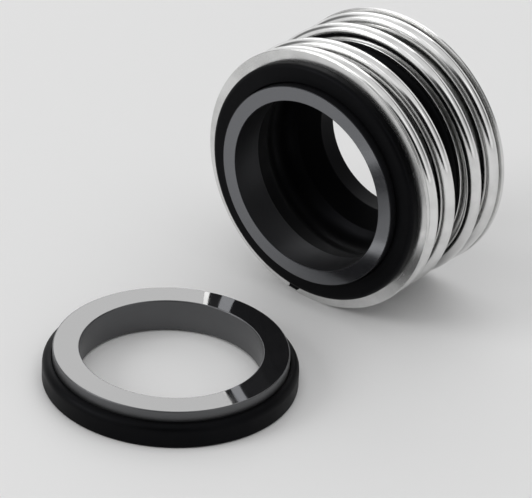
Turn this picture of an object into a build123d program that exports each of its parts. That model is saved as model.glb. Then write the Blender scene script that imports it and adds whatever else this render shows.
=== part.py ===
"""Rubber-bellows mechanical seal for a 20 mm shaft: a spring-loaded head and its stationary seat.

The head lies on its side, its axis along Y and its sealing face towards -Y. The seat lies flat in
front of it, its axis along Z. The origin is at the bottom centre of the whole set's bounding box.
"""
from build123d import *
import math
import os

os.makedirs("parts", exist_ok=True)

# ----------------------------------------------------------------------------------------------
# Driving dimensions, in millimetres, turns and degrees
# ----------------------------------------------------------------------------------------------
# The head across its axis, from the shaft outwards
shaft_diameter = 20.0
face_bore_room = 2.1
nose_width = 2.1
shoulder_step = 0.8
pocket_wall = 0.6
lip_overhang = 1.25
collar_sheet = 0.5
spring_bore_room = 0.25
wire_diameter = 2.0
collar_overhang = 0.05

# The head along its axis, from the sealing face backwards
nose_height = 2.4
shoulder_thickness = 2.55
lip_setback = 1.05
lip_thickness = 1.35
front_collar_length = 5.1
fold_length = 5.2
rear_collar_length = 6.8

# Details of the face ring and the collars
lapped_edge_chamfer = 0.1
collar_bend_radius = 0.8
collar_edge_radius = 0.12
notch_width = 1.3
notch_depth = 0.75
notch_angle = -98.0

# Details of the bellows
lip_edge_radius = 0.6
throat_step = 0.8
fold_depth = 1.25
fold_height = 0.75
fold_wall = 1.5
fold_run = 1.5
waist_step = 1.7
waist_edge_radius = 0.3
funnel_length = 3.0
tail_grip_length = 2.9
tail_recess = 0.6
tail_edge_radius = 0.4

# Details of the spring. The stations give the share of its length that the wire has climbed after
# a number of turns: it lies flat on each collar, climbs slowly beside it and fast in the middle.
spring_stations = (
    (0.0, 0.0),
    (0.15, 0.0),
    (0.38, 0.04),
    (1.15, 0.247),
    (1.38, 0.307),
    (2.15, 0.682),
    (2.38, 0.722),
    (3.15, 0.984),
    (3.38, 1.0),
    (3.6, 1.0),
)
spring_start_angle = 135.0
path_points_per_turn = 12

# Stationary seat, from its bore outwards and from its back upwards
seat_bore_room = 2.05
seat_face_width = 3.5
seat_root_step = 1.25
seat_root_height = 2.1
seat_step_height = 2.35
seat_edge_chamfer = 0.15

# Rubber cup of the seat
cup_wall = 1.25
cup_floor_height = 2.4
cup_rim_height = 0.9
cup_top_radius = 1.0
cup_bottom_radius = 0.35

# Where the seat lies, measured from the middle of the head's sealing face
seat_distance = 26.27
seat_side_offset = -0.65

# Clearances
rubber_gap = 0.05
wire_gap = 0.03

# ----------------------------------------------------------------------------------------------
# Derived sizes. Along the head, y runs from the sealing face, at 0, to the rear flange.
# ----------------------------------------------------------------------------------------------
nose_bore = shaft_diameter / 2 + face_bore_room
nose_radius = nose_bore + nose_width
shoulder_radius = nose_radius + shoulder_step
face_ring_length = nose_height + shoulder_thickness

head_radius = shoulder_radius + rubber_gap + pocket_wall
lip_radius = head_radius + lip_overhang
front_collar_setback = lip_setback + lip_thickness
head_length = front_collar_setback + front_collar_length + fold_length + rear_collar_length
tail_end = head_length - tail_recess

collar_leg_bore = head_radius + rubber_gap
collar_leg_radius = collar_leg_bore + collar_sheet
coil_radius = collar_leg_radius + spring_bore_room + wire_diameter / 2
collar_radius = coil_radius + wire_diameter / 2 + collar_overhang

spring_front = front_collar_setback + collar_sheet + wire_gap + wire_diameter / 2
spring_back = head_length - collar_sheet - wire_gap - wire_diameter / 2
spring_turns = spring_stations[-1][0]

seat_bore = shaft_diameter / 2 + seat_bore_room
seat_radius = seat_bore + seat_face_width
seat_root_radius = seat_radius - seat_root_step
cup_radius = seat_radius + rubber_gap + cup_wall

overall_length = head_length + seat_distance + cup_radius
face_plane = overall_length / 2 - head_length
axis_height = collar_radius


# ----------------------------------------------------------------------------------------------
# Helpers
# ----------------------------------------------------------------------------------------------
def outline(*points):
    """Flat section bounded by straight lines between its corners."""
    return make_face(Polyline(*points, close=True))


def corner_at(section, x, y):
    """The section's corner that lies nearest to a point."""
    return section.vertices().sort_by_distance((x, y, 0))[0]


def turned(section):
    """Solid of revolution about the head's axis, from a section drawn as (radius, y)."""
    return revolve(section, Axis.Y)


def on_head(solid):
    """Move a piece from the head's own axes to its place in the set."""
    return Pos(0, face_plane, axis_height) * solid


def on_floor(section):
    """Solid of revolution about the seat's upright axis, from a section drawn as (radius, height)."""
    upright = Rot(90, 0, 0) * revolve(section, Axis.Y)
    return Pos(seat_side_offset, face_plane - seat_distance, 0) * upright


def rounded(section, corners, radius):
    """Round some of a section's corners, each given by a point at or near it."""
    for x, y in corners:
        section = fillet(corner_at(section, x, y), radius)
    return section


# ----------------------------------------------------------------------------------------------
# Head
# ----------------------------------------------------------------------------------------------
def seal_face():
    """Face ring: a narrow lapped nose on a wider shoulder that sits in the rubber."""
    section = outline(
        (nose_bore, 0),
        (nose_radius, 0),
        (nose_radius, nose_height),
        (shoulder_radius, nose_height),
        (shoulder_radius, face_ring_length),
        (nose_bore, face_ring_length),
    )
    lapped_edges = [corner_at(section, nose_bore, 0), corner_at(section, nose_radius, 0)]
    return on_head(turned(chamfer(lapped_edges, lapped_edge_chamfer)))


def notch_block(depth, y_from, y_to, side_gap=0.0):
    """Block through the rim of the lip at the notch, reaching depth beyond the lip."""
    block = Box(
        lip_radius + depth,
        y_to - y_from,
        notch_width - 2 * side_gap,
        align=(Align.MIN, Align.MIN, Align.CENTER),
    )
    return Rot(0, -notch_angle, 0) * (Pos(0, y_from, 0) * block)


def collar_section(collar_length):
    """L-shaped section of a collar with its flange at y = 0 and its leg towards +y."""
    section = outline(
        (collar_leg_bore, 0),
        (collar_radius, 0),
        (collar_radius, collar_sheet),
        (collar_leg_radius, collar_sheet),
        (collar_leg_radius, collar_length),
        (collar_leg_bore, collar_length),
    )
    section = rounded(section, [(collar_leg_bore, 0)], collar_bend_radius)
    section = rounded(section, [(collar_leg_radius, collar_sheet)], collar_bend_radius - collar_sheet)
    return rounded(section, [(collar_radius, 0), (collar_radius, collar_sheet)], collar_edge_radius)


def front_collar():
    """Front collar, with the notch that keys it to the rubber."""
    collar = Pos(0, front_collar_setback, 0) * turned(collar_section(front_collar_length))
    cut = notch_block(notch_depth, front_collar_setback - collar_sheet, front_collar_setback + 2 * collar_sheet)
    return on_head(collar - cut)


def rear_collar():
    """Rear collar, turned the other way so that its leg points forwards."""
    collar = Pos(0, head_length, 0) * (Rot(180, 0, 0) * turned(collar_section(rear_collar_length)))
    return on_head(collar)


def bellows_section():
    """Section of the moulding: lip, pocket of the face ring, fold, funnel and tail."""
    lip_bore = nose_radius + rubber_gap
    pocket = shoulder_radius + rubber_gap
    pocket_front = nose_height - rubber_gap
    throat = nose_bore + throat_step
    waist = shaft_diameter / 2 + waist_step
    tail_bore = shaft_diameter / 2
    fold_front = front_collar_setback + front_collar_length - rubber_gap
    fold_rear = head_length - rear_collar_length + rubber_gap
    fold_middle = (fold_front + fold_rear) / 2
    fold_root = head_radius - fold_depth
    fold_crest = fold_root + fold_height
    waist_y = tail_end - tail_grip_length - funnel_length
    along_head = (0, 1)
    from_waist = (1, -0.6)
    outer_fold = Spline(
        (head_radius, fold_front),
        (fold_root, fold_front + fold_run),
        (fold_crest, fold_middle),
        (fold_root, fold_rear - fold_run),
        (head_radius, fold_rear),
        tangents=[along_head] * 5,
    )
    inner_fold = Spline(
        (waist, waist_y),
        (fold_crest - fold_wall, fold_middle),
        (throat, fold_front),
        tangents=[from_waist, (0, -1), (0, -1)],
    )
    front = Polyline(
        (throat, fold_front),
        (throat, face_ring_length),
        (pocket, face_ring_length),
        (pocket, pocket_front),
        (lip_bore, pocket_front),
        (lip_bore, lip_setback),
        (lip_radius, lip_setback),
        (lip_radius, front_collar_setback),
        (head_radius, front_collar_setback),
        (head_radius, fold_front),
    )
    tail = Polyline(
        (head_radius, fold_rear),
        (head_radius, tail_end),
        (tail_bore, tail_end),
        (tail_bore, tail_end - tail_grip_length),
        (waist, waist_y),
    )
    section = make_face([*front.edges(), outer_fold, *tail.edges(), inner_fold])
    section = rounded(section, [(lip_radius, lip_setback)], lip_edge_radius)
    section = rounded(section, [(waist, waist_y)], waist_edge_radius)
    return rounded(section, [(tail_bore, tail_end), (head_radius, tail_end)], tail_edge_radius)


def bellows():
    """Bellows, with the small lug that fills the front collar's notch."""
    lug = notch_block(
        notch_depth - rubber_gap,
        front_collar_setback - lip_edge_radius,
        front_collar_setback + collar_sheet,
        rubber_gap,
    )
    lug_root = Rot(-90, 0, 0) * Cylinder(
        lip_radius - lip_edge_radius,
        head_length,
        align=(Align.CENTER, Align.CENTER, Align.MIN),
    )
    return on_head(turned(bellows_section()) + (lug - lug_root))


def spring_y(turns):
    """Place of the wire along the head, after a number of turns from the front collar."""
    climbed = 1.0
    for (start, low), (end, high) in zip(spring_stations, spring_stations[1:]):
        if start <= turns < end:
            climbed = low + (high - low) * (turns - start) / (end - start)
    return spring_front + (spring_back - spring_front) * climbed


def spring():
    """Round wire swept along a right-hand helix whose pitch closes at both ends."""
    steps = round(spring_turns * path_points_per_turn)
    points = []
    for step in range(steps + 1):
        turns = spring_turns * step / steps
        angle = math.radians(spring_start_angle - 360 * turns)
        points.append((coil_radius * math.cos(angle), spring_y(turns), coil_radius * math.sin(angle)))
    centre_line = Wire([Spline(*points)])
    wire_end = Plane(origin=centre_line @ 0, z_dir=centre_line % 0)
    return on_head(sweep(wire_end * Circle(wire_diameter / 2), path=centre_line, is_frenet=True))


# ----------------------------------------------------------------------------------------------
# Seat
# ----------------------------------------------------------------------------------------------
def seat_ring():
    """Stationary ring: a lapped face on a step, above a narrower root that sits in the cup."""
    bottom = cup_floor_height - seat_root_height
    top = cup_floor_height + seat_step_height
    section = outline(
        (seat_bore, bottom),
        (seat_root_radius, bottom),
        (seat_root_radius, cup_floor_height),
        (seat_radius, cup_floor_height),
        (seat_radius, top),
        (seat_bore, top),
    )
    broken_edges = [
        corner_at(section, seat_radius, top),
        corner_at(section, seat_bore, top),
        corner_at(section, seat_bore, bottom),
    ]
    return on_floor(chamfer(broken_edges, seat_edge_chamfer))


def seat_cup():
    """Rubber cup: a thick floor under the seat's step and a low wall round it."""
    inner = seat_root_radius + rubber_gap
    wall = seat_radius + rubber_gap
    cup_height = cup_floor_height + cup_rim_height
    section = outline(
        (inner, 0),
        (cup_radius, 0),
        (cup_radius, cup_height),
        (wall, cup_height),
        (wall, cup_floor_height),
        (inner, cup_floor_height),
    )
    section = rounded(section, [(cup_radius, cup_height)], cup_top_radius)
    return on_floor(rounded(section, [(cup_radius, 0), (inner, 0)], cup_bottom_radius))


# ----------------------------------------------------------------------------------------------
# One file for each piece
# ----------------------------------------------------------------------------------------------
pieces = {
    "seal_face": seal_face(),
    "bellows": bellows(),
    "front_collar": front_collar(),
    "spring": spring(),
    "rear_collar": rear_collar(),
    "seat_ring": seat_ring(),
    "seat_cup": seat_cup(),
}
for name, shape in pieces.items():
    shape.label = name
    export_step(shape, f"parts/{name}.step")
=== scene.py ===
"""Looks of a rubber-bellows mechanical seal: the spring-loaded head on its side and its flat seat."""
import math

import bmesh
import bpy
from mathutils import Matrix, Vector
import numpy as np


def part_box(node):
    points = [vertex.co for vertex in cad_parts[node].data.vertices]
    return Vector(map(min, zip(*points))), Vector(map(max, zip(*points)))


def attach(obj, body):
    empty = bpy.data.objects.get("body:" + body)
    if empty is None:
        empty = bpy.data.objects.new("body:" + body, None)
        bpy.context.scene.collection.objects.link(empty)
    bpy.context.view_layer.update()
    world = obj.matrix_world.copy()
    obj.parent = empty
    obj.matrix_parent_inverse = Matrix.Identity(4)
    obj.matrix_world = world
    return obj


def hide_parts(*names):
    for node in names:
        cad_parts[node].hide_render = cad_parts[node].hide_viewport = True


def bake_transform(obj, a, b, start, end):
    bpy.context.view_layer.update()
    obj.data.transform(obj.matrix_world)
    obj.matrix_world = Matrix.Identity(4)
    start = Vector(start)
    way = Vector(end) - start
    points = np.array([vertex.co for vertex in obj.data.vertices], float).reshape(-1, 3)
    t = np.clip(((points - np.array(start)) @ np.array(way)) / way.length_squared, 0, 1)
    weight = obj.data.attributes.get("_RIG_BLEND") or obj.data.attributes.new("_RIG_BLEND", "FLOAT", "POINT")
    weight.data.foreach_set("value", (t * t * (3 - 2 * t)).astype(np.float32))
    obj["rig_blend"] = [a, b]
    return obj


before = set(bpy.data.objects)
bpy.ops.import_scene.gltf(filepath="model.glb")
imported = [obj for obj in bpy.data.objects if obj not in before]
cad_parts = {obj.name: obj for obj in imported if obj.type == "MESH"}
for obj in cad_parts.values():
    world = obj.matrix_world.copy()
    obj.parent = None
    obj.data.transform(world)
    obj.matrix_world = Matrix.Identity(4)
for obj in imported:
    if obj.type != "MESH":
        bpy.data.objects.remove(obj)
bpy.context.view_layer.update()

MM = 0.001

# ----------------------------------------------------------------------------------------------
# Places taken from the frame, in metres
# ----------------------------------------------------------------------------------------------
face_low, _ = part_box("seal_face")
rear_low, rear_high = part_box("rear_collar")
cup_low, cup_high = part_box("seat_cup")
FACE_Y = face_low.y
REAR_Y = rear_high.y
AXIS_Z = (rear_low.z + rear_high.z) / 2
SEAT_X = (cup_low.x + cup_high.x) / 2
SEAT_Y = (cup_low.y + cup_high.y) / 2

# ----------------------------------------------------------------------------------------------
# Sizes of the pieces, in millimetres. Along the head, a distance runs back from the lapped face.
# ----------------------------------------------------------------------------------------------
HEAD_LENGTH = (REAR_Y - FACE_Y) / MM
RUBBER_GAP = 0.05
WIRE_GAP = 0.03

# Face ring
SHAFT_RADIUS = 10.0
NOSE_BORE = 12.1
NOSE_RADIUS = 14.2
NOSE_HEIGHT = 2.4
SHOULDER_RADIUS = 15.0
FACE_RING_LENGTH = 4.95

# Bellows
POCKET_WALL = 0.6
HEAD_RADIUS = SHOULDER_RADIUS + RUBBER_GAP + POCKET_WALL
LIP_OVERHANG = 1.25
LIP_RADIUS = HEAD_RADIUS + LIP_OVERHANG
LIP_SETBACK = 1.05
FLANGE_SETBACK = 2.4
THROAT_STEP = 0.8
THROAT_RADIUS = NOSE_BORE + THROAT_STEP
WAIST_STEP = 1.7
WAIST_RADIUS = SHAFT_RADIUS + WAIST_STEP
TAIL_GRIP = 2.9
FUNNEL_LENGTH = 3.0
TAIL_RECESS = 0.6
FOLD_DEPTH = 1.25
FOLD_ROOT = HEAD_RADIUS - FOLD_DEPTH
FOLD_HEIGHT = 0.75
FOLD_CREST = FOLD_ROOT + FOLD_HEIGHT
FOLD_WALL = 1.5
FOLD_RUN = 1.5
# Where the inner fold starts, seen from the waist, and its direction there, as (radius, along)
WAIST_RISE = (0.5, -0.3)
WAIST_SLOPE = (0.857, -0.514)

# Collars
SHEET = 0.5
COLLAR_BORE = HEAD_RADIUS + RUBBER_GAP
COLLAR_LEG = COLLAR_BORE + SHEET
COLLAR_RADIUS = (rear_high.z - rear_low.z) / 2 / MM
FRONT_COLLAR_LENGTH = 5.1
REAR_COLLAR_LENGTH = 6.8
COLLAR_BEND = 0.8
NOTCH_WIDTH = 1.3
NOTCH_DEPTH = 0.75
NOTCH_ANGLE = math.radians(-98)

# Spring. The stations give the share of its length that the wire has climbed after some turns.
WIRE_RADIUS = 1.0
SPRING_ROOM = 0.25
COIL_RADIUS = COLLAR_LEG + SPRING_ROOM + WIRE_RADIUS
SPRING_START = math.radians(135)
SPRING_STATIONS = (
    (0.0, 0.0),
    (0.15, 0.0),
    (0.38, 0.04),
    (1.15, 0.247),
    (1.38, 0.307),
    (2.15, 0.682),
    (2.38, 0.722),
    (3.15, 0.984),
    (3.38, 1.0),
    (3.6, 1.0),
)
SPRING_TURNS = SPRING_STATIONS[-1][0]
CLOSED_TURNS = 1.0

# Seat
SEAT_BORE = 12.05
SEAT_FACE_WIDTH = 3.5
SEAT_RADIUS = SEAT_BORE + SEAT_FACE_WIDTH
SEAT_ROOT_STEP = 1.25
SEAT_ROOT = SEAT_RADIUS - SEAT_ROOT_STEP
SEAT_STEP = 2.4
SEAT_ROOT_HEIGHT = 2.1
SEAT_BOTTOM = SEAT_STEP - SEAT_ROOT_HEIGHT
SEAT_STEP_HEIGHT = 2.35
SEAT_TOP = SEAT_STEP + SEAT_STEP_HEIGHT
CUP_RADIUS = (cup_high.x - cup_low.x) / 2 / MM
CUP_RIM_HEIGHT = 0.9
CUP_HEIGHT = SEAT_STEP + CUP_RIM_HEIGHT

# Roundings of the edges
PLAIN_EDGE = 0.1
FINE_EDGE = 0.08
INNER_CORNER = 0.05
COLLAR_RIM_EDGE = 0.14
THROAT_EDGE = 0.12
LIP_INNER_EDGE = 0.22
LIP_OUTER_EDGE = 0.6
TAIL_EDGE = 0.4
WAIST_EDGE = 0.3
LUG_EDGE = 0.12
WIRE_END_EDGE = 0.16
SEAT_EDGE = 0.15
CUP_FOOT_EDGE = 0.35
CUP_SHOULDER_EDGE = 1.0
CUP_LIP_EDGE = 0.12

# ----------------------------------------------------------------------------------------------
# Fineness of the meshes
# ----------------------------------------------------------------------------------------------
TURNED_SEGMENTS = 288
CORNER_STEPS = 7
OUTER_FOLD_STEPS = 12
INNER_FOLD_STEPS = 18
WIRE_PATH_POINTS = 560
WIRE_SIDES = 40
BEVEL_STEPS = 3
SHARP_ANGLE = math.radians(32)
# How far beyond a rounded corner its flats are held flat, in millimetres
CORNER_HOLD = 0.03
# In metres: points nearer than this are one, and a face this near to a level lies on it
MERGE_DISTANCE = 1e-7
LEVEL_TOLERANCE = 2e-6

# ----------------------------------------------------------------------------------------------
# Node helpers
# ----------------------------------------------------------------------------------------------
# A Mix node's sockets for its two floats and its two colours, which share their names
MIX_FLOAT_A, MIX_FLOAT_B, MIX_FLOAT_RESULT = 2, 3, 0
MIX_COLOUR_A, MIX_COLOUR_B, MIX_COLOUR_RESULT = 6, 7, 2
# Nearly all of a noise texture's values lie between these
NOISE_LOW, NOISE_HIGH = 0.3, 0.7


def set_inputs(node, values):
    """Give a node's inputs, by name or number, their links or their own values."""
    for key, value in values.items():
        if isinstance(value, bpy.types.NodeSocket):
            node.id_data.links.new(value, node.inputs[key])
        else:
            node.inputs[key].default_value = value


def add(tree, kind, values=None, **settings):
    """Add a node with its settings and its inputs."""
    made = tree.nodes.new(kind)
    for key, value in settings.items():
        setattr(made, key, value)
    set_inputs(made, values or {})
    return made


def maths(tree, operation, *values):
    """Output of a Math node."""
    return add(tree, "ShaderNodeMath", dict(enumerate(values)), operation=operation).outputs[0]


def scaled(tree, value, factor):
    """A value times a factor."""
    return maths(tree, "MULTIPLY", value, factor)


def summed(tree, first, second):
    """Two values added."""
    return maths(tree, "ADD", first, second)


def vector_of(tree, x=0.0, y=0.0, z=0.0):
    """Vector from its three parts."""
    return add(tree, "ShaderNodeCombineXYZ", {"X": x, "Y": y, "Z": z}).outputs[0]


def parts_of(tree, vector):
    """The three parts of a vector."""
    return add(tree, "ShaderNodeSeparateXYZ", {"Vector": vector}).outputs


def ranged(tree, value, low=0.0, high=1.0, to_low=0.0, to_high=1.0, smooth=False):
    """A value brought from one range to another, held at the ends."""
    made = add(
        tree,
        "ShaderNodeMapRange",
        {"Value": value, "From Min": low, "From Max": high, "To Min": to_low, "To Max": to_high},
        interpolation_type="SMOOTHSTEP" if smooth else "LINEAR",
    )
    return made.outputs[0]


def noise(tree, vector, scale, detail, rough):
    """Fac of a 3D noise texture."""
    made = add(
        tree,
        "ShaderNodeTexNoise",
        {"Vector": vector, "Scale": scale, "Detail": detail, "Roughness": rough},
    )
    return made.outputs["Fac"]


# ----------------------------------------------------------------------------------------------
# Shader node groups
# ----------------------------------------------------------------------------------------------
def new_group(name, place, sizes, outputs):
    """Shader group with a place, sizes with their defaults, and masks or heights to put out."""
    tree = bpy.data.node_groups.new(name, "ShaderNodeTree")
    tree.interface.new_socket(place, in_out="INPUT", socket_type="NodeSocketVector")
    for label, default in sizes.items():
        socket = tree.interface.new_socket(label, in_out="INPUT", socket_type="NodeSocketFloat")
        socket.default_value = default
    for label in outputs:
        tree.interface.new_socket(label, in_out="OUTPUT", socket_type="NodeSocketFloat")
    entry = tree.nodes.new("NodeGroupInput").outputs
    leave = tree.nodes.new("NodeGroupOutput")
    return tree, entry, leave


def lathe_marks_group():
    """Fine rings that a tool leaves round an axis, which is local Z through the origin."""
    drift_around = 0.4
    coarse_share = 0.45
    tree, entry, leave = new_group("Lathe marks", "Place", {"Spacing": 0.00012}, ["Height"])
    x, y, z = parts_of(tree, entry["Place"])
    from_axis = vector_of(tree, x, y)
    radius = add(tree, "ShaderNodeVectorMath", {0: from_axis}, operation="LENGTH").outputs["Value"]
    heading = add(tree, "ShaderNodeVectorMath", {0: entry["Place"]}, operation="NORMALIZE").outputs[0]
    heading_x = parts_of(tree, heading)[0]
    rate = maths(tree, "DIVIDE", 1.0, entry["Spacing"])
    spot = vector_of(
        tree,
        scaled(tree, radius, rate),
        scaled(tree, z, rate),
        scaled(tree, heading_x, drift_around),
    )
    coarse = noise(tree, spot, scale=0.35, detail=2.0, rough=0.6)
    fine = noise(tree, spot, scale=1.0, detail=3.0, rough=0.7)
    marks = summed(tree, scaled(tree, coarse, coarse_share), scaled(tree, fine, 1 - coarse_share))
    set_inputs(leave, {"Height": marks})
    return tree


def handling_group():
    """Soft smudges and fine specks left by handling, as masks that vary over the surface."""
    specks_across_patch = 26.0
    tree, entry, leave = new_group("Handling film", "Place", {"Patch": 0.006}, ["Smudge", "Specks"])
    rate = maths(tree, "DIVIDE", 1.0, entry["Patch"])
    patches = noise(tree, entry["Place"], rate, detail=4.0, rough=0.62)
    dust = noise(tree, entry["Place"], scaled(tree, rate, specks_across_patch), detail=1.0, rough=0.4)
    set_inputs(
        leave,
        {
            "Smudge": ranged(tree, patches, low=0.36, high=0.68, smooth=True),
            "Specks": ranged(tree, dust, low=0.71, high=0.80, smooth=True),
        },
    )
    return tree


def grain_group():
    """Close isotropic grain of a moulded, sintered or rolled surface."""
    mottle_share = 0.12
    tree, entry, leave = new_group("Close grain", "Place", {"Grain": 0.0002}, ["Height", "Mottle"])
    rate = maths(tree, "DIVIDE", 1.0, entry["Grain"])
    mottle_rate = scaled(tree, rate, mottle_share)
    set_inputs(
        leave,
        {
            "Height": noise(tree, entry["Place"], rate, detail=3.0, rough=0.6),
            "Mottle": noise(tree, entry["Place"], mottle_rate, detail=3.0, rough=0.55),
        },
    )
    return tree


def draw_lines_group():
    """Long shallow lines that the die leaves on drawn wire, from its own (cosine, sine, turns)."""
    stretch = (9.0, 9.0, 2.4)
    tree, entry, leave = new_group("Draw lines", "Wire", {}, ["Height", "Streak"])
    spot = add(
        tree,
        "ShaderNodeVectorMath",
        {0: entry["Wire"], 1: stretch},
        operation="MULTIPLY",
    ).outputs[0]
    streaks = noise(tree, spot, scale=0.45, detail=3.0, rough=0.6)
    set_inputs(
        leave,
        {
            "Height": noise(tree, spot, scale=2.2, detail=4.0, rough=0.7),
            "Streak": ranged(tree, streaks, low=0.35, high=0.7, smooth=True),
        },
    )
    return tree


LATHE_MARKS = lathe_marks_group()
HANDLING = handling_group()
GRAIN = grain_group()
DRAW_LINES = draw_lines_group()


# ----------------------------------------------------------------------------------------------
# Materials
# ----------------------------------------------------------------------------------------------
def new_material(name):
    """Material, with its node tree and its Principled shader."""
    material = bpy.data.materials.new(name)
    material.use_nodes = True
    tree = material.node_tree
    return material, tree, tree.nodes["Principled BSDF"]


def use_group(tree, group, **values):
    """Outputs of a node group that is placed in a material with its own values."""
    made = tree.nodes.new("ShaderNodeGroup")
    made.node_tree = group
    set_inputs(made, values)
    return made.outputs


def object_place(tree):
    """Object coordinates."""
    return tree.nodes.new("ShaderNodeTexCoord").outputs["Object"]


def moved_place(tree, location, rotation=(0, 0, 0)):
    """Object coordinates, turned and then moved."""
    made = add(
        tree,
        "ShaderNodeMapping",
        {"Vector": object_place(tree), "Location": location, "Rotation": rotation},
        vector_type="POINT",
    )
    return made.outputs[0]


def head_place(tree):
    """Object coordinates with the head's axis turned to local Z."""
    return moved_place(tree, (0, AXIS_Z, -FACE_Y), (math.radians(90), 0, 0))


def seat_place(tree):
    """Object coordinates with the seat's axis at the origin."""
    return moved_place(tree, (-SEAT_X, -SEAT_Y, 0))


def mixed_colour(tree, factor, first, second):
    """Colour between two, by a factor."""
    made = add(
        tree,
        "ShaderNodeMix",
        {"Factor": factor, MIX_COLOUR_A: (*first, 1), MIX_COLOUR_B: (*second, 1)},
        data_type="RGBA",
    )
    return made.outputs[MIX_COLOUR_RESULT]


def set_surface(tree, shader, colour, roughness, height, strength, distance):
    """Link a surface's colour, roughness and bump, whose distance is in metres, to its shader."""
    bump = add(tree, "ShaderNodeBump", {"Height": height, "Strength": strength, "Distance": distance})
    set_inputs(shader, {"Base Color": colour, "Roughness": roughness, "Normal": bump.outputs[0]})


def stamped_stainless():
    """Bright pressed sheet of the two collars."""
    clean, smudged = (0.75, 0.75, 0.745), (0.61, 0.61, 0.605)
    grain_share = 0.5
    material, tree, shader = new_material("Stamped stainless sheet")
    place = object_place(tree)
    film = use_group(tree, HANDLING, Place=place, Patch=0.007)
    grain = use_group(tree, GRAIN, Place=place, Grain=0.00016)
    marks = use_group(tree, LATHE_MARKS, Place=head_place(tree), Spacing=0.00022)
    film_rough = ranged(tree, film["Smudge"], to_low=0.20, to_high=0.28)
    marks_rough = ranged(tree, marks["Height"], NOISE_LOW, NOISE_HIGH, to_low=-0.03, to_high=0.03)
    set_surface(
        tree,
        shader,
        mixed_colour(tree, film["Smudge"], clean, smudged),
        summed(tree, film_rough, marks_rough),
        summed(tree, scaled(tree, grain["Height"], grain_share), marks["Height"]),
        strength=0.25,
        distance=6e-6,
    )
    shader.inputs["Metallic"].default_value = 1.0
    return material


def drawn_wire():
    """Bright drawn stainless wire of the spring."""
    clean, smudged = (0.82, 0.82, 0.815), (0.71, 0.71, 0.705)
    streak_rough = 0.04
    material, tree, shader = new_material("Drawn spring wire")
    wire = add(tree, "ShaderNodeAttribute", attribute_name="wire").outputs["Vector"]
    lines = use_group(tree, DRAW_LINES, Wire=wire)
    film = use_group(tree, HANDLING, Place=object_place(tree), Patch=0.005)
    film_rough = ranged(tree, film["Smudge"], to_low=0.11, to_high=0.16)
    set_surface(
        tree,
        shader,
        mixed_colour(tree, film["Smudge"], clean, smudged),
        summed(tree, film_rough, scaled(tree, lines["Streak"], streak_rough)),
        lines["Height"],
        strength=0.14,
        distance=8e-6,
    )
    shader.inputs["Metallic"].default_value = 1.0
    return material


def moulded_rubber():
    """Satin black rubber of the bellows and of the seat's cup."""
    dark, light = (0.0014, 0.0014, 0.0016), (0.0028, 0.0028, 0.0031)
    speck_rough = 0.12
    material, tree, shader = new_material("Moulded black rubber")
    place = object_place(tree)
    film = use_group(tree, HANDLING, Place=place, Patch=0.008)
    grain = use_group(tree, GRAIN, Place=place, Grain=0.00022)
    film_rough = ranged(tree, film["Smudge"], to_low=0.40, to_high=0.52)
    set_surface(
        tree,
        shader,
        mixed_colour(tree, grain["Mottle"], dark, light),
        summed(tree, film_rough, scaled(tree, film["Specks"], speck_rough)),
        grain["Height"],
        strength=0.35,
        distance=2e-5,
    )
    shader.inputs["Specular IOR Level"].default_value = 0.07
    shader.inputs["Specular Tint"].default_value = (0.88, 0.90, 1.0, 1)
    return material


def lapped_carbon():
    """Lapped sealing face of the carbon ring."""
    dark, light = (0.012, 0.012, 0.0135), (0.020, 0.020, 0.022)
    material, tree, shader = new_material("Lapped carbon face")
    place = head_place(tree)
    film = use_group(tree, HANDLING, Place=place, Patch=0.006)
    grain = use_group(tree, GRAIN, Place=place, Grain=0.0003)
    marks = use_group(tree, LATHE_MARKS, Place=place, Spacing=0.0001)
    set_surface(
        tree,
        shader,
        mixed_colour(tree, grain["Mottle"], dark, light),
        ranged(tree, film["Smudge"], to_low=0.12, to_high=0.17),
        marks["Height"],
        strength=0.12,
        distance=4e-6,
    )
    shader.inputs["IOR"].default_value = 2.35
    shader.inputs["Specular Tint"].default_value = (0.93, 0.95, 1.0, 1)
    return material


def turned_carbon():
    """Turned walls of the carbon ring."""
    dark, light = (0.004, 0.004, 0.0045), (0.008, 0.008, 0.009)
    grain_share = 0.5
    material, tree, shader = new_material("Turned carbon")
    place = head_place(tree)
    grain = use_group(tree, GRAIN, Place=place, Grain=0.00025)
    marks = use_group(tree, LATHE_MARKS, Place=place, Spacing=0.00018)
    set_surface(
        tree,
        shader,
        mixed_colour(tree, grain["Mottle"], dark, light),
        ranged(tree, marks["Height"], NOISE_LOW, NOISE_HIGH, to_low=0.34, to_high=0.46),
        summed(tree, marks["Height"], scaled(tree, grain["Height"], grain_share)),
        strength=0.35,
        distance=2e-5,
    )
    shader.inputs["IOR"].default_value = 1.42
    shader.inputs["Specular Tint"].default_value = (0.90, 0.92, 1.0, 1)
    return material


def lapped_ceramic():
    """Mirror of the seat's lapped face."""
    dark, light = (0.011, 0.011, 0.012), (0.017, 0.017, 0.018)
    material, tree, shader = new_material("Lapped dark ceramic face")
    place = seat_place(tree)
    film = use_group(tree, HANDLING, Place=place, Patch=0.007)
    grain = use_group(tree, GRAIN, Place=place, Grain=0.0004)
    set_surface(
        tree,
        shader,
        mixed_colour(tree, grain["Mottle"], dark, light),
        ranged(tree, film["Smudge"], to_low=0.025, to_high=0.06),
        film["Smudge"],
        strength=0.05,
        distance=2e-6,
    )
    shader.inputs["IOR"].default_value = 2.75
    return material


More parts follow.
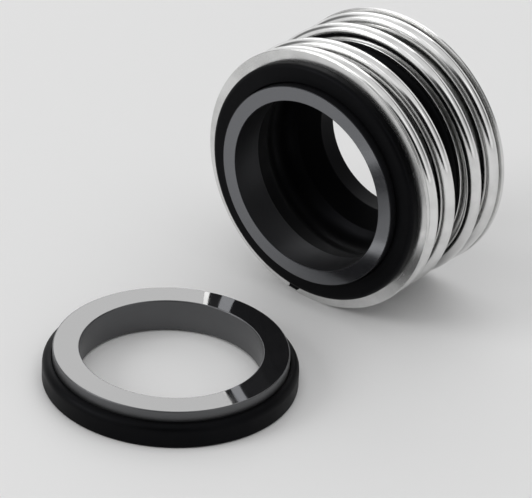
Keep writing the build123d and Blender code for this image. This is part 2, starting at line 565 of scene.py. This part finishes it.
def ground_ceramic():
    """Ground walls of the seat's ring."""
    dark, light = (0.012, 0.0122, 0.0125), (0.022, 0.0223, 0.023)
    grain_share = 0.4
    material, tree, shader = new_material("Ground dark ceramic")
    place = seat_place(tree)
    grain = use_group(tree, GRAIN, Place=place, Grain=0.00025)
    marks = use_group(tree, LATHE_MARKS, Place=place, Spacing=0.00014)
    set_surface(
        tree,
        shader,
        mixed_colour(tree, grain["Mottle"], dark, light),
        ranged(tree, marks["Height"], NOISE_LOW, NOISE_HIGH, to_low=0.30, to_high=0.42),
        summed(tree, marks["Height"], scaled(tree, grain["Height"], grain_share)),
        strength=0.3,
        distance=1.2e-5,
    )
    shader.inputs["IOR"].default_value = 1.97
    shader.inputs["Specular Tint"].default_value = (0.96, 0.97, 1.0, 1)
    return material


# ----------------------------------------------------------------------------------------------
# Shapes
# ----------------------------------------------------------------------------------------------
def on_head(radius, along, angle):
    """A point of the head from its radius, its distance behind the face and its angle."""
    return Vector(
        (
            radius * MM * math.cos(angle),
            FACE_Y + along * MM,
            AXIS_Z + radius * MM * math.sin(angle),
        )
    )


def on_seat(radius, height, angle):
    """A point of the seat from its radius, height and angle."""
    return Vector(
        (
            SEAT_X + radius * MM * math.cos(angle),
            SEAT_Y + radius * MM * math.sin(angle),
            height * MM,
        )
    )


def rounded_corner(before, at, after, radius):
    """Points round one corner of a section, with one more on each side that holds the flats flat."""
    towards_before = (before - at).normalized()
    towards_after = (after - at).normalized()
    half = towards_before.angle(towards_after) / 2
    reach = radius / math.tan(half)
    middle = at + (towards_before + towards_after).normalized() * (radius / math.sin(half))
    start = at + towards_before * reach - middle
    end = at + towards_after * reach - middle
    turn = start.angle(end)
    points = [at + towards_before * (reach + CORNER_HOLD)]
    for step in range(CORNER_STEPS + 1):
        t = step / CORNER_STEPS
        spoke = (start * math.sin((1 - t) * turn) + end * math.sin(t * turn)) / math.sin(turn)
        points.append(middle + spoke)
    points.append(at + towards_after * (reach + CORNER_HOLD))
    return points


def section(*corners):
    """Points of a line of (radius, along, rounding) corners; a rounding of 0 keeps a plain point."""
    spots = [Vector(c[:2]) for c in corners]
    points = []
    for i, (_, _, rounding) in enumerate(corners):
        if rounding > 0:
            points += rounded_corner(spots[i - 1], spots[i], spots[(i + 1) % len(spots)], rounding)
        else:
            points.append(spots[i])
    return points


def fold_line(knots, steps):
    """Smooth line through (radius, along, radius direction, along direction) knots, ends left out."""
    points = []
    for (r0, a0, dr0, da0), (r1, a1, dr1, da1) in zip(knots, knots[1:]):
        reach = math.hypot(r1 - r0, a1 - a0)
        for step in range(steps):
            t = step / steps
            h0, h1 = 2 * t**3 - 3 * t**2 + 1, t**3 - 2 * t**2 + t
            h2, h3 = 3 * t**2 - 2 * t**3, t**3 - t**2
            radius = h0 * r0 + h1 * dr0 * reach + h2 * r1 + h3 * dr1 * reach
            along = h0 * a0 + h1 * da0 * reach + h2 * a1 + h3 * da1 * reach
            points.append(Vector((radius, along)))
    return points[1:]


def linked(name, data):
    """Object of some data, put in the scene."""
    obj = bpy.data.objects.new(name, data)
    bpy.context.scene.collection.objects.link(obj)
    return obj


def shaded(mesh):
    """Make a mesh's faces smooth and keep its sharp edges."""
    mesh.shade_smooth()
    mesh.set_sharp_from_angle(angle=SHARP_ANGLE)


def finished_mesh(name, bm):
    """Object of a bmesh with its doubles merged and its faces outwards."""
    bmesh.ops.remove_doubles(bm, verts=bm.verts, dist=MERGE_DISTANCE)
    bmesh.ops.recalc_face_normals(bm, faces=bm.faces)
    if bm.calc_volume(signed=True) < 0:
        bmesh.ops.reverse_faces(bm, faces=bm.faces)
    mesh = bpy.data.meshes.new(name)
    bm.to_mesh(mesh)
    bm.free()
    shaded(mesh)
    return linked(name, mesh)


def bevelled(bm, edges, width):
    """Round some edges of a bmesh."""
    bmesh.ops.bevel(
        bm,
        geom=edges,
        offset=width * MM,
        segments=BEVEL_STEPS,
        profile=0.5,
        affect="EDGES",
    )


def turned(name, profile, place):
    """Ring from a closed section turned round its piece's axis."""
    bm = bmesh.new()
    rings = []
    for i in range(TURNED_SEGMENTS):
        angle = 2 * math.pi * i / TURNED_SEGMENTS
        rings.append([bm.verts.new(place(p.x, p.y, angle)) for p in profile])
    for i in range(TURNED_SEGMENTS):
        here, there = rings[i], rings[(i + 1) % TURNED_SEGMENTS]
        for j in range(len(profile)):
            k = (j + 1) % len(profile)
            bm.faces.new((here[j], there[j], there[k], here[k]))
    return finished_mesh(name, bm)


def notch_block(name, inner, outer, front, back, width, edge=0.0):
    """Block across the head's rim at the notch, between two radii and two distances behind the face."""
    bm = bmesh.new()
    bmesh.ops.create_cube(bm, size=1)
    side = Vector((-math.sin(NOTCH_ANGLE), 0, math.cos(NOTCH_ANGLE)))
    for v in bm.verts:
        radius = (inner + outer) / 2 + v.co.x * (outer - inner)
        along = (front + back) / 2 + v.co.y * (back - front)
        v.co = on_head(radius, along, NOTCH_ANGLE) + side * (v.co.z * width * MM)
    if edge:
        bevelled(bm, bm.edges, edge)
    return finished_mesh(name, bm)


def plain_mesh(obj):
    """The mesh that an object's modifiers make of it."""
    depsgraph = bpy.context.evaluated_depsgraph_get()
    return bpy.data.meshes.new_from_object(obj.evaluated_get(depsgraph))


def combined(obj, tool, operation):
    """Cut or join a tool to a piece, and remove the tool."""
    modifier = obj.modifiers.new("Notch", "BOOLEAN")
    modifier.object = tool
    modifier.operation = operation
    modifier.solver = "MANIFOLD"
    mesh = plain_mesh(obj)
    obj.modifiers.clear()
    obj.data = mesh
    shaded(mesh)
    bpy.data.objects.remove(tool)
    return obj


def dressed(obj, *materials):
    """Give a piece its materials, the first one everywhere."""
    obj.data.materials.clear()
    for material in materials:
        obj.data.materials.append(material)
    for polygon in obj.data.polygons:
        polygon.material_index = 0
    return obj


def lapped(obj, axis, level):
    """Give the flat face at one level of an axis the piece's second material."""
    for polygon in obj.data.polygons:
        places = [obj.data.vertices[v].co[axis] for v in polygon.vertices]
        if max(abs(p - level) for p in places) < LEVEL_TOLERANCE:
            polygon.material_index = 1
    return obj


# ----------------------------------------------------------------------------------------------
# Head: face ring, collars and bellows
# ----------------------------------------------------------------------------------------------
def face_ring():
    """Carbon ring with its narrow lapped nose on a wider shoulder."""
    profile = section(
        (NOSE_BORE, 0, PLAIN_EDGE),
        (NOSE_RADIUS, 0, PLAIN_EDGE),
        (NOSE_RADIUS, NOSE_HEIGHT, INNER_CORNER),
        (SHOULDER_RADIUS, NOSE_HEIGHT, FINE_EDGE),
        (SHOULDER_RADIUS, FACE_RING_LENGTH, FINE_EDGE),
        (NOSE_BORE, FACE_RING_LENGTH, PLAIN_EDGE),
    )
    return turned("carbon_face_ring", profile, on_head)


def collar(name, flange, length, direction):
    """L-section ring pressed from sheet: a flange and a leg that runs off in one direction."""
    corners = [
        (COLLAR_BORE, 0, COLLAR_BEND),
        (COLLAR_RADIUS, 0, COLLAR_RIM_EDGE),
        (COLLAR_RADIUS, SHEET, COLLAR_RIM_EDGE),
        (COLLAR_LEG, SHEET, COLLAR_BEND - SHEET),
        (COLLAR_LEG, length, PLAIN_EDGE),
        (COLLAR_BORE, length, PLAIN_EDGE),
    ]
    profile = section(*((r, flange + direction * a, rounding) for r, a, rounding in corners))
    return turned(name, profile, on_head)


def notched_collar():
    """Front collar with the notch in its flange."""
    obj = collar("front_flange_collar", FLANGE_SETBACK, FRONT_COLLAR_LENGTH, 1)
    block = notch_block(
        "notch",
        SHAFT_RADIUS,
        LIP_RADIUS + NOTCH_DEPTH,
        FLANGE_SETBACK - SHEET,
        FLANGE_SETBACK + 2 * SHEET,
        NOTCH_WIDTH,
    )
    return combined(obj, block, "DIFFERENCE")


def bellows_section():
    """Section of the moulding: lip, pocket of the face ring, fold, funnel and tail."""
    lip_bore = NOSE_RADIUS + RUBBER_GAP
    pocket = SHOULDER_RADIUS + RUBBER_GAP
    pocket_front = NOSE_HEIGHT - RUBBER_GAP
    fold_front = FLANGE_SETBACK + FRONT_COLLAR_LENGTH - RUBBER_GAP
    fold_rear = HEAD_LENGTH - REAR_COLLAR_LENGTH + RUBBER_GAP
    fold_middle = (fold_front + fold_rear) / 2
    tail_end = HEAD_LENGTH - TAIL_RECESS
    funnel_end = tail_end - TAIL_GRIP
    waist = funnel_end - FUNNEL_LENGTH
    inner_fold_start = (WAIST_RADIUS + WAIST_RISE[0], waist + WAIST_RISE[1])
    along_head = (0, 1)
    front = section(
        (THROAT_RADIUS, FACE_RING_LENGTH, THROAT_EDGE),
        (pocket, FACE_RING_LENGTH, PLAIN_EDGE),
        (pocket, pocket_front, FINE_EDGE),
        (lip_bore, pocket_front, FINE_EDGE),
        (lip_bore, LIP_SETBACK, LIP_INNER_EDGE),
        (LIP_RADIUS, LIP_SETBACK, LIP_OUTER_EDGE),
        (LIP_RADIUS, FLANGE_SETBACK, FINE_EDGE),
        (HEAD_RADIUS, FLANGE_SETBACK, FINE_EDGE),
        (HEAD_RADIUS, fold_front, 0),
        (THROAT_RADIUS, fold_front, 0),
    )
    outer = fold_line(
        [
            (HEAD_RADIUS, fold_front, *along_head),
            (FOLD_ROOT, fold_front + FOLD_RUN, *along_head),
            (FOLD_CREST, fold_middle, *along_head),
            (FOLD_ROOT, fold_rear - FOLD_RUN, *along_head),
            (HEAD_RADIUS, fold_rear, *along_head),
        ],
        OUTER_FOLD_STEPS,
    )
    tail = section(
        (HEAD_RADIUS, fold_rear, 0),
        (HEAD_RADIUS, tail_end, TAIL_EDGE),
        (SHAFT_RADIUS, tail_end, TAIL_EDGE),
        (SHAFT_RADIUS, funnel_end, WAIST_EDGE),
        (WAIST_RADIUS, waist, WAIST_EDGE),
        (*inner_fold_start, 0),
    )
    inner = fold_line(
        [
            (*inner_fold_start, *WAIST_SLOPE),
            (FOLD_CREST - FOLD_WALL, fold_middle, 0, -1),
            (THROAT_RADIUS, fold_front, 0, -1),
        ],
        INNER_FOLD_STEPS,
    )
    return front[:-1] + outer + tail + inner + [front[-1]]


def bellows_moulding():
    """Rubber bellows with the small lug that fills the front collar's notch."""
    obj = turned("rubber_bellows", bellows_section(), on_head)
    lug = notch_block(
        "lug",
        LIP_RADIUS - 2 * LIP_OUTER_EDGE,
        LIP_RADIUS + NOTCH_DEPTH - RUBBER_GAP,
        FLANGE_SETBACK - LIP_OUTER_EDGE,
        FLANGE_SETBACK + SHEET,
        NOTCH_WIDTH - 2 * RUBBER_GAP,
        LUG_EDGE,
    )
    return combined(obj, lug, "UNION")


# ----------------------------------------------------------------------------------------------
# Spring, by Geometry Nodes: its path climbs by its stations from turn to turn
# ----------------------------------------------------------------------------------------------
SPRING_END_ROOM = SHEET + WIRE_GAP + WIRE_RADIUS
SPRING_INPUTS = {
    "Turns": ("NodeSocketFloat", SPRING_TURNS),
    "Start Angle": ("NodeSocketFloat", SPRING_START),
    "Coil Radius": ("NodeSocketFloat", COIL_RADIUS * MM),
    "Wire Radius": ("NodeSocketFloat", WIRE_RADIUS * MM),
    "Front": ("NodeSocketFloat", FACE_Y + (FLANGE_SETBACK + SPRING_END_ROOM) * MM),
    "Back": ("NodeSocketFloat", REAR_Y - SPRING_END_ROOM * MM),
    "Axis Height": ("NodeSocketFloat", AXIS_Z),
    "Path Points": ("NodeSocketInt", WIRE_PATH_POINTS),
    "Wire Sides": ("NodeSocketInt", WIRE_SIDES),
    "Wire Material": ("NodeSocketMaterial", None),
}


def climbed_share(tree, factor):
    """Share of the spring's length that the wire has climbed, from its share of the turns."""
    climb = add(tree, "ShaderNodeFloatCurve", {"Value": factor})
    stations = climb.mapping.curves[0].points
    for turn, share in SPRING_STATIONS[1:-1]:
        stations.new(turn / SPRING_TURNS, share)
    for station in stations:
        station.handle_type = "AUTO_CLAMPED"
    climb.mapping.update()
    return climb.outputs[0]


def captured(tree, geometry, kind, label, value):
    """Keep a value with each point of a curve, and give the curve and the value back."""
    made = tree.nodes.new("GeometryNodeCaptureAttribute")
    made.domain = "POINT"
    made.capture_items.new(kind, label)
    set_inputs(made, {"Geometry": geometry, label: value})
    return made.outputs["Geometry"], made.outputs[label]


def spring_path(tree, size):
    """Centre line of the wire, and the turn that each of its points has reached."""
    line = add(tree, "GeometryNodeCurvePrimitiveLine")
    path = add(
        tree,
        "GeometryNodeResampleCurve",
        {"Curve": line.outputs[0], "Count": size["Path Points"]},
        mode="COUNT",
    )
    factor = tree.nodes.new("GeometryNodeSplineParameter").outputs["Factor"]
    turns = scaled(tree, factor, size["Turns"])
    angle = maths(tree, "SUBTRACT", size["Start Angle"], scaled(tree, turns, 2 * math.pi))
    length = maths(tree, "SUBTRACT", size["Back"], size["Front"])
    spot = vector_of(
        tree,
        scaled(tree, maths(tree, "COSINE", angle), size["Coil Radius"]),
        summed(tree, size["Front"], scaled(tree, climbed_share(tree, factor), length)),
        summed(tree, scaled(tree, maths(tree, "SINE", angle), size["Coil Radius"]), size["Axis Height"]),
    )
    wound = add(tree, "GeometryNodeSetPosition", {"Geometry": path.outputs[0], "Position": spot})
    return captured(tree, wound.outputs[0], "FLOAT", "Turn", turns)


def wire_circle(tree, size):
    """Round section of the wire, and the direction of each of its points."""
    circle = add(
        tree,
        "GeometryNodeCurvePrimitiveCircle",
        {"Resolution": size["Wire Sides"], "Radius": size["Wire Radius"]},
        mode="RADIUS",
    )
    factor = tree.nodes.new("GeometryNodeSplineParameter").outputs["Factor"]
    angle = scaled(tree, factor, 2 * math.pi)
    direction = vector_of(tree, maths(tree, "COSINE", angle), maths(tree, "SINE", angle))
    return captured(tree, circle.outputs[0], "VECTOR", "Round", direction)


def spring_tree():
    """Tree that winds round wire into a compression spring with both ends closed."""
    tree = bpy.data.node_groups.new("Closed end spring", "GeometryNodeTree")
    tree.interface.new_socket("Geometry", in_out="INPUT", socket_type="NodeSocketGeometry")
    for label, (kind, _) in SPRING_INPUTS.items():
        tree.interface.new_socket(label, in_out="INPUT", socket_type=kind)
    tree.interface.new_socket("Geometry", in_out="OUTPUT", socket_type="NodeSocketGeometry")
    size = tree.nodes.new("NodeGroupInput").outputs
    leave = tree.nodes.new("NodeGroupOutput")

    path, turn = spring_path(tree, size)
    circle, direction = wire_circle(tree, size)
    tube = add(
        tree,
        "GeometryNodeCurveToMesh",
        {"Curve": path, "Profile Curve": circle, "Fill Caps": True},
    )
    cosine, sine, _ = parts_of(tree, direction)
    named = add(
        tree,
        "GeometryNodeStoreNamedAttribute",
        {"Geometry": tube.outputs[0], "Name": "wire", "Value": vector_of(tree, cosine, sine, turn)},
        data_type="FLOAT_VECTOR",
        domain="POINT",
    )
    real = add(tree, "GeometryNodeRealizeInstances", {"Geometry": named.outputs[0]})
    covered = add(
        tree,
        "GeometryNodeSetMaterial",
        {"Geometry": real.outputs[0], "Material": size["Wire Material"]},
    )
    set_inputs(leave, {0: covered.outputs[0]})
    return tree


def wound_spring(material):
    """Spring as a plain mesh, with the edges of the wire's cut ends rounded."""
    host = linked("spring_host", bpy.data.meshes.new("spring_host"))
    modifier = host.modifiers.new("Spring", "NODES")
    tree = spring_tree()
    modifier.node_group = tree
    for item in tree.interface.items_tree:
        if item.in_out == "INPUT" and item.name in SPRING_INPUTS:
            value = SPRING_INPUTS[item.name][1]
            modifier[item.identifier] = material if value is None else value
    mesh = plain_mesh(host)
    host.modifiers.clear()
    bpy.data.objects.remove(host)

    bm = bmesh.new()
    bm.from_mesh(mesh)
    caps = [f for f in bm.faces if len(f.verts) > 4]
    bevelled(bm, list({e for f in caps for e in f.edges}), WIRE_END_EDGE)
    bpy.data.meshes.remove(mesh)
    return finished_mesh("closed_end_spring", bm)


# ----------------------------------------------------------------------------------------------
# Seat
# ----------------------------------------------------------------------------------------------
def seat_mirror_ring():
    """Stationary ring, its lapped face on a step above a narrower root."""
    profile = section(
        (SEAT_BORE, SEAT_BOTTOM, SEAT_EDGE),
        (SEAT_ROOT, SEAT_BOTTOM, PLAIN_EDGE),
        (SEAT_ROOT, SEAT_STEP, INNER_CORNER),
        (SEAT_RADIUS, SEAT_STEP, FINE_EDGE),
        (SEAT_RADIUS, SEAT_TOP, SEAT_EDGE),
        (SEAT_BORE, SEAT_TOP, SEAT_EDGE),
    )
    return turned("ceramic_seat_ring", profile, on_seat)


def seat_rubber_cup():
    """Rubber cup under and round the seat's step."""
    inner = SEAT_ROOT + RUBBER_GAP
    wall = SEAT_RADIUS + RUBBER_GAP
    profile = section(
        (inner, 0, CUP_FOOT_EDGE),
        (CUP_RADIUS, 0, CUP_FOOT_EDGE),
        (CUP_RADIUS, CUP_HEIGHT, CUP_SHOULDER_EDGE),
        (wall, CUP_HEIGHT, CUP_LIP_EDGE),
        (wall, SEAT_STEP, FINE_EDGE),
        (inner, SEAT_STEP, FINE_EDGE),
    )
    return turned("rubber_seat_cup", profile, on_seat)


# ----------------------------------------------------------------------------------------------
# Make the pieces, dress them and put them on their bodies
# ----------------------------------------------------------------------------------------------
RUBBER = moulded_rubber()
SHEET_METAL = stamped_stainless()
WIRE = drawn_wire()
Y_AXIS, Z_AXIS = 1, 2

ring = lapped(dressed(face_ring(), turned_carbon(), lapped_carbon()), Y_AXIS, FACE_Y)
front = dressed(notched_collar(), SHEET_METAL)
rear = dressed(collar("rear_flange_collar", HEAD_LENGTH, REAR_COLLAR_LENGTH, -1), SHEET_METAL)
rubber = dressed(bellows_moulding(), RUBBER)
coil = dressed(wound_spring(WIRE), WIRE)
mirror = lapped(dressed(seat_mirror_ring(), ground_ceramic(), lapped_ceramic()), Z_AXIS, SEAT_TOP * MM)
cup = dressed(seat_rubber_cup(), RUBBER)

for piece, body, node, slot in (
    (ring, "face_end", "seal_face", "face_carbon"),
    (front, "face_end", "front_collar", "stainless_sheet"),
    (rear, "shaft_end", "rear_collar", "stainless_sheet"),
    (mirror, "shaft_end", "seat_ring", "seat_ceramic"),
    (cup, "shaft_end", "seat_cup", "black_rubber"),
):
    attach(piece, body)
    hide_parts(node)

fold_from = on_head(0, FLANGE_SETBACK + FRONT_COLLAR_LENGTH, 0)
fold_to = on_head(0, HEAD_LENGTH - REAR_COLLAR_LENGTH, 0)
for piece, node, slot in ((rubber, "bellows", "black_rubber"), (coil, "spring", "spring_steel")):
    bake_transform(piece, "face_end", "shaft_end", start=fold_from, end=fold_to)
    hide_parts(node)

# The wire stays round because each of its cross-sections moves as one: the first turn goes with the
# front collar, the last with the rear one, and the turns between them close up evenly.
OPEN_TURNS = SPRING_TURNS - 2 * CLOSED_TURNS
wire_places = coil.data.attributes["wire"].data
for place, weight in zip(wire_places, coil.data.attributes["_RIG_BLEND"].data):
    turn = place.vector[2]
    weight.value = min(max((turn - CLOSED_TURNS) / OPEN_TURNS, 0.0), 1.0)

# ----------------------------------------------------------------------------------------------
# Camera
# ----------------------------------------------------------------------------------------------
CAMERA_LENS = 300.8
SENSOR_WIDTH = 36
NEAREST_SEEN = 0.01
CAMERA_RIGHT = (0.77751, 0.62714, 0.04675)
CAMERA_UP = (-0.34772, 0.36677, 0.86288)
CAMERA_BACK = (0.52400, -0.68715, 0.50323)
CAMERA_PLACE = (0.30867, -0.40091, 0.30868)


def studio_camera():
    """Long-lens camera that looks down on the set from its front right."""
    camera = linked("camera", bpy.data.cameras.new("camera"))
    camera.data.sensor_fit = "HORIZONTAL"
    camera.data.sensor_width = SENSOR_WIDTH
    camera.data.lens = CAMERA_LENS
    camera.data.clip_start = NEAREST_SEEN
    facing = Matrix((CAMERA_RIGHT, CAMERA_UP, CAMERA_BACK)).transposed()
    camera.matrix_world = Matrix.Translation(CAMERA_PLACE) @ facing.to_4x4()
    return camera


bpy.context.scene.camera = studio_camera()

# ----------------------------------------------------------------------------------------------
# Floor, lamps and surroundings
# ----------------------------------------------------------------------------------------------
FLOOR_RADIUS = 2.5
FLOOR_SEGMENTS = 96
FLOOR_GREY = 0.80

LAMP_TARGET = (0, 0, 0.01)
# Name, place, width and height in metres, and power in watts
LAMPS = (
    ("rear softbox", (-0.62, 0.80, 0.62), 1.0, 0.8, 2.6),
    ("front left softbox", (-0.62, -0.82, 0.62), 0.6, 0.5, 4.0),
    ("overhead softbox", (0.15, 0.1, 1.0), 1.3, 1.3, 3.3),
)

# Strength of the surroundings for diffuse light, for reflections and behind the object
FILL = 0.50
TENT = 0.88
BACKDROP = 0.92
# Each opening's azimuth and elevation, the angles from its middle at which it starts and stops
# fading, all in degrees, and its brightness as a share of the tent's
OPENINGS = (
    (-44, 8, 20, 29, 0.01),
    (-50, 26, 17, 28, 0.02),
    (-72, 14, 14, 25, 0.08),
    (33, 81, 26, 42, 0.12),
    (-168, 14, 10, 24, 0.2),
    (33, 24, 10, 32, 0.55),
    (48, 20, 9, 19, 0.25),
    (62, 34, 8, 17, 0.35),
    (77, 46, 9, 19, 0.2),
)


def floor_disc():
    """Pale floor under the set."""
    bm = bmesh.new()
    bmesh.ops.create_circle(bm, cap_ends=True, segments=FLOOR_SEGMENTS, radius=FLOOR_RADIUS)
    mesh = bpy.data.meshes.new("floor")
    bm.to_mesh(mesh)
    bm.free()
    obj = linked("floor", mesh)
    material, _, shader = new_material("Pale studio floor")
    shader.inputs["Base Color"].default_value = (FLOOR_GREY, FLOOR_GREY, FLOOR_GREY, 1)
    shader.inputs["Roughness"].default_value = 0.9
    shader.inputs["Specular IOR Level"].default_value = 0.1
    mesh.materials.append(material)


def softbox(name, place, width, height, power):
    """Rectangular area lamp aimed at the middle of the set."""
    data = bpy.data.lights.new(name, "AREA")
    data.shape = "RECTANGLE"
    data.size = width
    data.size_y = height
    data.energy = power
    obj = linked(name, data)
    obj.location = place
    obj.rotation_euler = (Vector(LAMP_TARGET) - Vector(place)).to_track_quat("-Z", "Y").to_euler()


def seen_through(tree, direction, azimuth, elevation, near, far, level):
    """Share of the tent's light that one opening leaves in a direction."""
    round_z, up = math.radians(azimuth), math.radians(elevation)
    towards = (math.cos(up) * math.cos(round_z), math.cos(up) * math.sin(round_z), math.sin(up))
    facing = add(
        tree,
        "ShaderNodeVectorMath",
        {0: direction, 1: towards},
        operation="DOT_PRODUCT",
    ).outputs["Value"]
    edge, middle = math.cos(math.radians(far)), math.cos(math.radians(near))
    return ranged(tree, facing, edge, middle, to_low=1.0, to_high=level, smooth=True)


def mixed_level(tree, factor, first, second):
    """Level between two, by a factor."""
    made = add(
        tree,
        "ShaderNodeMix",
        {"Factor": factor, MIX_FLOAT_A: first, MIX_FLOAT_B: second},
        data_type="FLOAT",
    )
    return made.outputs[MIX_FLOAT_RESULT]


def studio_world():
    """Pale surroundings: plain for diffuse light, and a bright tent with dark openings for reflections."""
    made = bpy.data.worlds.new("studio")
    made.use_nodes = True
    tree = made.node_tree
    direction = tree.nodes.new("ShaderNodeTexCoord").outputs["Generated"]
    light = TENT
    for opening in OPENINGS:
        light = scaled(tree, light, seen_through(tree, direction, *opening))
    path = tree.nodes.new("ShaderNodeLightPath").outputs
    mirrored = maths(tree, "MAXIMUM", path["Is Glossy Ray"], path["Is Transmission Ray"])
    around = mixed_level(tree, mirrored, FILL, light)
    strength = mixed_level(tree, path["Is Camera Ray"], around, BACKDROP)
    set_inputs(tree.nodes["Background"], {"Color": (1, 1, 1, 1), "Strength": strength})
    return made


floor_disc()
for lamp in LAMPS:
    softbox(*lamp)
bpy.context.scene.world = studio_world()

bpy.context.scene.view_settings.view_transform = "Standard"
